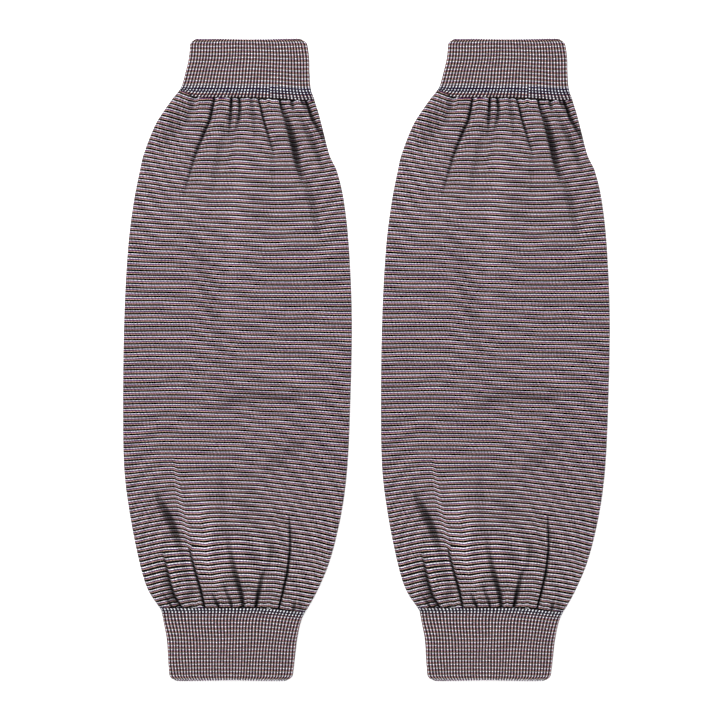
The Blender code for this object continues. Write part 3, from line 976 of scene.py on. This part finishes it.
def outline_table(column):
    """One side's reach at each of the outline's places."""
    on_top_cuff = OUTLINE_PLACES < TOP_CUFF_LENGTH
    on_body = OUTLINE_PLACES < BODY_END
    top = station_values(TOP_CUFF_STATIONS, column, OUTLINE_PLACES)
    body = station_values(BODY_STATIONS, column, OUTLINE_PLACES)
    bottom = station_values(BOTTOM_CUFF_STATIONS, column, OUTLINE_PLACES)
    return np.where(on_top_cuff, top, np.where(on_body, body, bottom))


LEFT_REACH = outline_table("left")
RIGHT_REACH = outline_table("right")
Flat = namedtuple("Flat", "along x")


def flat_places(alongs, across, radius, inset):
    """Where the points of a sheet lie on the flattened tube, with its seams bent but its outline kept."""
    laid = np.repeat(alongs[:, None], len(across), axis=1)
    for _ in range(BENDING_ROUNDS):
        left = inset - np.interp(laid, OUTLINE_PLACES, LEFT_REACH)
        right = np.interp(laid, OUTLINE_PLACES, RIGHT_REACH) - inset
        x = (left + right) / 2 + across * ((right - left) / 2 - radius)
        laid = alongs[:, None] + seam_drop(alongs[:, None], x)
    return Flat(laid, x)


# A sheet's crease is each point's painted shade, and painted light where it is negative
Sheet = namedtuple("Sheet", "along x height wale course crease")


def knitted_mesh(name, sheet, axis_x, material):
    """A grid with a sheet's columns and rows, set on its places and joined up the middle of the back."""
    rows, columns = (count - 1 for count in sheet.x.shape)
    mesh = bmesh.new()
    bmesh.ops.create_grid(mesh, x_segments=columns, y_segments=rows, size=0.5)
    knit = mesh.loops.layers.uv.new("knit")
    # the attribute crease carries the painted shade and painted light of each point
    crease = mesh.verts.layers.float.new("crease")
    place = {}
    for vertex in mesh.verts:
        column = round((vertex.co.x + 0.5) * columns)
        row = round((0.5 - vertex.co.y) * rows)
        place[vertex] = (row, column)
    for face in mesh.faces:
        for loop in face.loops:
            at = place[loop.vert]
            loop[knit].uv = (sheet.wale[at], sheet.course[at])
    for vertex, at in place.items():
        vertex[crease] = sheet.crease[at]
        y = SLEEVE_LENGTH / 2 - sheet.along[at]
        vertex.co = ((axis_x + sheet.x[at]) * MM, y * MM, sheet.height[at] * MM)
    bmesh.ops.remove_doubles(mesh, verts=mesh.verts, dist=MERGE_DISTANCE)
    bmesh.ops.recalc_face_normals(mesh, faces=mesh.faces)
    data = bpy.data.meshes.new(name)
    mesh.to_mesh(data)
    mesh.free()
    data.shade_smooth()
    data.materials.append(material)
    piece = bpy.data.objects.new(name, data)
    bpy.context.scene.collection.objects.link(piece)
    return piece


def wale_numbers(x, along, height, facing_x, total):
    """Wale numbers round each row by the way along the cloth, half of them on each side of the folds."""
    steps = np.sqrt(sum(np.diff(part, axis=1) ** 2 for part in (x, along, height)))
    way = np.concatenate((np.zeros((len(x), 1)), np.cumsum(steps, axis=1)), axis=1)
    right = int(np.argmax(facing_x))
    left = int(np.argmin(facing_x))
    last = x.shape[1] - 1
    numbers = np.zeros(x.shape)
    for start, end, low, high in ((0, right, 0, 0.25), (right, left, 0.25, 0.75), (left, last, 0.75, 1)):
        passed = way[:, start : end + 1] - way[:, start : start + 1]
        numbers[:, start : end + 1] = total * (low + (high - low) * passed / passed[:, -1:])
    return numbers


def ripples(along, x):
    """Small waves, from about -1 to 1, beside the seams, where the cuffs take up the loose cloth."""
    waves = sum(np.sin(math.tau * x / width + width) for width in RIPPLE_WIDTHS) / len(RIPPLE_WIDTHS)
    waves = waves * (1 - RIPPLE_UNEVENNESS + RIPPLE_UNEVENNESS * uneven(along, x, size=9, seed=21))
    return waves * near(np.minimum(along - BODY_START, BODY_END - along), RIPPLE_LENGTH)


def body_sheet():
    """The gathered body: a creased front layer, two side folds and a back layer that lies flat."""
    alongs = spaced_rows(BODY_START, BODY_END, BODY_ROW_SPACING)
    across, facing_x, facing_z = round_places(BODY_FRONT_COLUMNS, SIDE_COLUMNS, BODY_BACK_COLUMNS)
    radius = BODY_SIDE_HEIGHT / 2
    flat = flat_places(alongs, across, radius, 0.0)
    along = np.repeat(alongs[:, None], len(across), axis=1)
    crown = station_values(BODY_STATIONS, "height", along) - BODY_SIDE_HEIGHT
    on_front = facing_z > FLAT_FACING
    on_back = facing_z < -FLAT_FACING
    shoulder = 1 - np.abs(across) ** SIDE_FLATNESS
    edge = 1 - np.abs(across) ** CREASE_SIDE_FADE
    top = crease_pull(TOP_GATHERS, along, flat.x)
    bottom = crease_pull(BOTTOM_GATHERS, along, flat.x)
    free = crease_pull(FREE_CREASES, along, flat.x, free=True)
    under = crease_pull(BACK_GATHERS, along, flat.x)
    waves = ripples(along, flat.x)
    sink = (top.sink + bottom.sink + free.sink - RIPPLE_RISE * waves) * edge
    lumps = sum(row.rise * uneven(along, flat.x, row.size, row.seed) for row in LUMPS)
    lift = np.minimum(under.sink, BACK_DEEPEST) * edge
    front = BODY_SIDE_HEIGHT + (crown + lumps) * shoulder - sink
    lowest = 2 * BODY_THICKNESS + BACK_CLEARANCE + lift
    front = np.maximum(front, lowest + (BODY_SIDE_HEIGHT - lowest) * (1 - edge))
    height = np.where(on_front, front, np.where(on_back, lift, radius + radius * facing_z))
    x = flat.x + facing_x * radius
    front_sag = top.sag + bottom.sag + free.sag - RIPPLE_SAG * waves
    sag = np.where(on_back, under.sag, front_sag) * edge
    unbent = flat.along - seam_drop(along, flat.x, courses=True) - course_drop(along, flat.x) - sag
    course = (unbent - BODY_START) / BODY_COURSE
    course += COURSE_WANDER * uneven(along, flat.x, size=11, seed=31)
    wale = wale_numbers(x, flat.along, height, facing_x, BODY_WALES)
    # painted shade in the creases, with painted light along the ridges, on the front layer, and fainter
    # painted shade on the back layer
    dark = np.maximum(np.maximum(top.shade, bottom.shade), np.maximum(free.shade, 0))
    shade = np.where(on_back, under.shade * BACK_SHADE, dark + np.minimum(free.shade, 0))
    return Sheet(flat.along, x, height, wale, course, shade)


def corner_inset(alongs):
    """How far the rounded corners at the sleeve's open edges draw each row in."""
    from_edge = np.minimum(alongs, SLEEVE_LENGTH - alongs)
    reach = np.clip(CORNER_RADIUS - from_edge, 0, CORNER_RADIUS)
    return CORNER_RADIUS - np.sqrt(CORNER_RADIUS**2 - reach**2)


def cuff_sheet(stations, start, end, ribs, course_height):
    """A rib cuff: the flattened tube with its ribs raised all round."""
    if start == 0:
        edge_spacing = ((0, CUFF_EDGE_ROW), (CUFF_EDGE_REACH, CUFF_ROW), (end, CUFF_ROW))
    else:
        edge_spacing = ((start, CUFF_ROW), (end - CUFF_EDGE_REACH, CUFF_ROW), (end, CUFF_EDGE_ROW))
    alongs = spaced_rows(start, end, edge_spacing)
    front_columns = ribs * COLUMNS_PER_RIB
    side_columns = SIDE_RIBS * COLUMNS_PER_RIB
    back_columns = (ribs - 1) * BACK_COLUMNS_PER_RIB
    across, facing_x, facing_z = round_places(front_columns, side_columns, back_columns)
    half_back = back_columns // 2
    counts = np.cumsum([0, half_back, side_columns, front_columns, side_columns, half_back])
    half_back_ribs = (ribs - 1) / 2
    marks = np.cumsum([0.5, half_back_ribs, SIDE_RIBS, ribs, SIDE_RIBS, half_back_ribs])
    rib = np.interp(np.arange(len(across)), counts, marks)
    crest = np.abs(np.cos(math.pi * rib)) ** CREST_SHARPNESS
    inset = corner_inset(alongs)[:, None]
    radius = CUFF_SIDE_HEIGHT / 2
    flat = flat_places(alongs, across, radius, inset)
    along = np.repeat(alongs[:, None], len(across), axis=1)
    height = station_values(stations, "height", along)
    crown = np.where(facing_z > FLAT_FACING, height - CUFF_SIDE_HEIGHT, 0)
    base_z = radius + radius * facing_z + crown * (1 - np.abs(across) ** CUFF_SIDE_FLATNESS)
    from_edge = np.minimum(along, SLEEVE_LENGTH - along)
    relief = (crest - 1) * RIB_DEPTH * (1 - EDGE_FLATTENING * near(from_edge, EDGE_FLATTENING_REACH))
    raised = RIB_RISE * (1 + facing_z) / 2
    wander = RIB_WANDER * uneven(along, flat.x, size=9, seed=11)
    x = flat.x + facing_x * (radius + relief + raised * RAISED_SIDEWAYS) + wander * np.abs(facing_z)
    lumps = RIB_UNEVENNESS * uneven(along, flat.x, size=12, seed=13) * (facing_z > UPWARD_FACING)
    z = base_z + facing_z * (relief + raised) + lumps
    inward = 1 if start == 0 else -1
    drawn_in = END_INSET * (1 - from_edge / (end - start))
    drawn_in = drawn_in + EDGE_SCALLOP * (1 - crest) * near(from_edge, EDGE_SCALLOP_REACH)
    from_seam = along - BODY_END if start else BODY_START - along
    course = (flat.along - seam_drop(along, flat.x, courses=True) - start) / course_height
    course_wander = CUFF_COURSE_WANDER * uneven(along, flat.x, size=15, seed=17)
    course += course_wander * (1 - near(from_seam, CUFF_WANDER_START))
    rib_numbers = np.repeat(rib[None, :], len(alongs), axis=0)
    # painted shade where the cuff tucks into the seam
    tuck_shade = TUCK_SHADE * near(from_seam, TUCK_REACH)
    return Sheet(flat.along + inward * drawn_in, x, z, rib_numbers, course, tuck_shade)


def clothe(side, axis_x, stretch, sheet, material, thickness, slot, flat):
    """One stretch of a sleeve in place: its shell, under the root, with the solid that it stands for
    hidden.
    """
    name = f"{side}_{stretch}"
    piece = knitted_mesh(f"{name}_knit", sheet, axis_x, material)
    wall = piece.modifiers.new("wall", "SOLIDIFY")
    wall.thickness = thickness * MM
    wall.offset = -1
    wall.use_even_offset = False
    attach(piece, "root")
    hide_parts(name)
    flat[0] * MM
    flat[1] * MM
    return piece


def make_sleeves():
    """Both sleeves, which are alike: the photo shows the same folds twice."""
    jersey = jersey_material()
    top_rib = rib_material(
        "striped_rib_short", TOP_RIB_LIGHT, TOP_BAND_FIRST, TOP_BAND, TOP_BAND_JOG, TOP_JOG_RIBS
    )
    bottom_rib = rib_material("striped_rib_tall", BOTTOM_RIB_LIGHT, 0, BOTTOM_BAND, BOTTOM_BAND, NO_JOG)
    top_end = TOP_CUFF_LENGTH - SEAM_GAP / 2
    bottom_start = BODY_END + SEAM_GAP
    top = cuff_sheet(TOP_CUFF_STATIONS, 0, top_end, TOP_CUFF_RIBS, TOP_CUFF_COURSE)
    body = body_sheet()
    bottom = cuff_sheet(
        BOTTOM_CUFF_STATIONS, bottom_start, SLEEVE_LENGTH, BOTTOM_CUFF_RIBS, BOTTOM_CUFF_COURSE
    )
    for side in ("left", "right"):
        low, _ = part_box(f"{side}_sleeve_body")
        axis_x = low.x / MM + max(LEFT_REACH)
        for stretch in (
            ("top_cuff", top, top_rib, CUFF_THICKNESS, "striped_rib", TOP_CUFF_CUT),
            ("sleeve_body", body, jersey, BODY_THICKNESS, "striped_jersey", BODY_CUT),
            ("bottom_cuff", bottom, bottom_rib, CUFF_THICKNESS, "striped_rib", BOTTOM_CUFF_CUT),
        ):
            clothe(side, axis_x, *stretch)


# Studio
FLOOR_SIZE = 6.0
FLOOR_DROP = 0.0002
CAMERA_HEIGHT = 1.2460
CAMERA_X = -0.00398
CAMERA_Y = -0.00016
CAMERA_LENS = 100
WORLD_LIGHT = 1.5
WHITE = (1.0, 1.0, 1.0, 1.0)
FLOOR_WHITE = (0.95, 0.95, 0.95, 1.0)
KEY_ENERGY = 11.0
KEY_SIZE = 0.5
KEY_PLACE = (-0.25, 0.75, 0.75)


def make_floor():
    mesh = bmesh.new()
    bmesh.ops.create_grid(mesh, x_segments=1, y_segments=1, size=FLOOR_SIZE / 2)
    bmesh.ops.translate(mesh, verts=mesh.verts, vec=(0, 0, -FLOOR_DROP))
    data = bpy.data.meshes.new("floor")
    mesh.to_mesh(data)
    mesh.free()
    finish = Finish("white_floor")
    finish.show(finish.node("ShaderNodeBsdfDiffuse", {}, {"Color": FLOOR_WHITE}))
    data.materials.append(finish.material)
    floor = bpy.data.objects.new("floor", data)
    bpy.context.scene.collection.objects.link(floor)


def make_light():
    world = bpy.data.worlds.new("white_studio")
    world.use_nodes = True
    background = world.node_tree.nodes["Background"]
    background.inputs["Color"].default_value = WHITE
    background.inputs["Strength"].default_value = WORLD_LIGHT
    bpy.context.scene.world = world
    lamp = bpy.data.lights.new("key", "AREA")
    lamp.shape = "DISK"
    lamp.size = KEY_SIZE
    lamp.energy = KEY_ENERGY
    key = bpy.data.objects.new("key", lamp)
    key.location = KEY_PLACE
    key.rotation_mode = "QUATERNION"
    key.rotation_quaternion = key.location.to_track_quat("Z", "Y")
    bpy.context.scene.collection.objects.link(key)


def make_camera():
    lens = bpy.data.cameras.new("camera")
    lens.lens = CAMERA_LENS
    lens.clip_start = 0.01
    camera = bpy.data.objects.new("camera", lens)
    camera.location = (CAMERA_X, CAMERA_Y, CAMERA_HEIGHT)
    bpy.context.scene.collection.objects.link(camera)
    bpy.context.scene.camera = camera


bpy.context.scene.view_settings.view_transform = "Standard"
make_camera()
make_floor()
make_light()
make_sleeves()
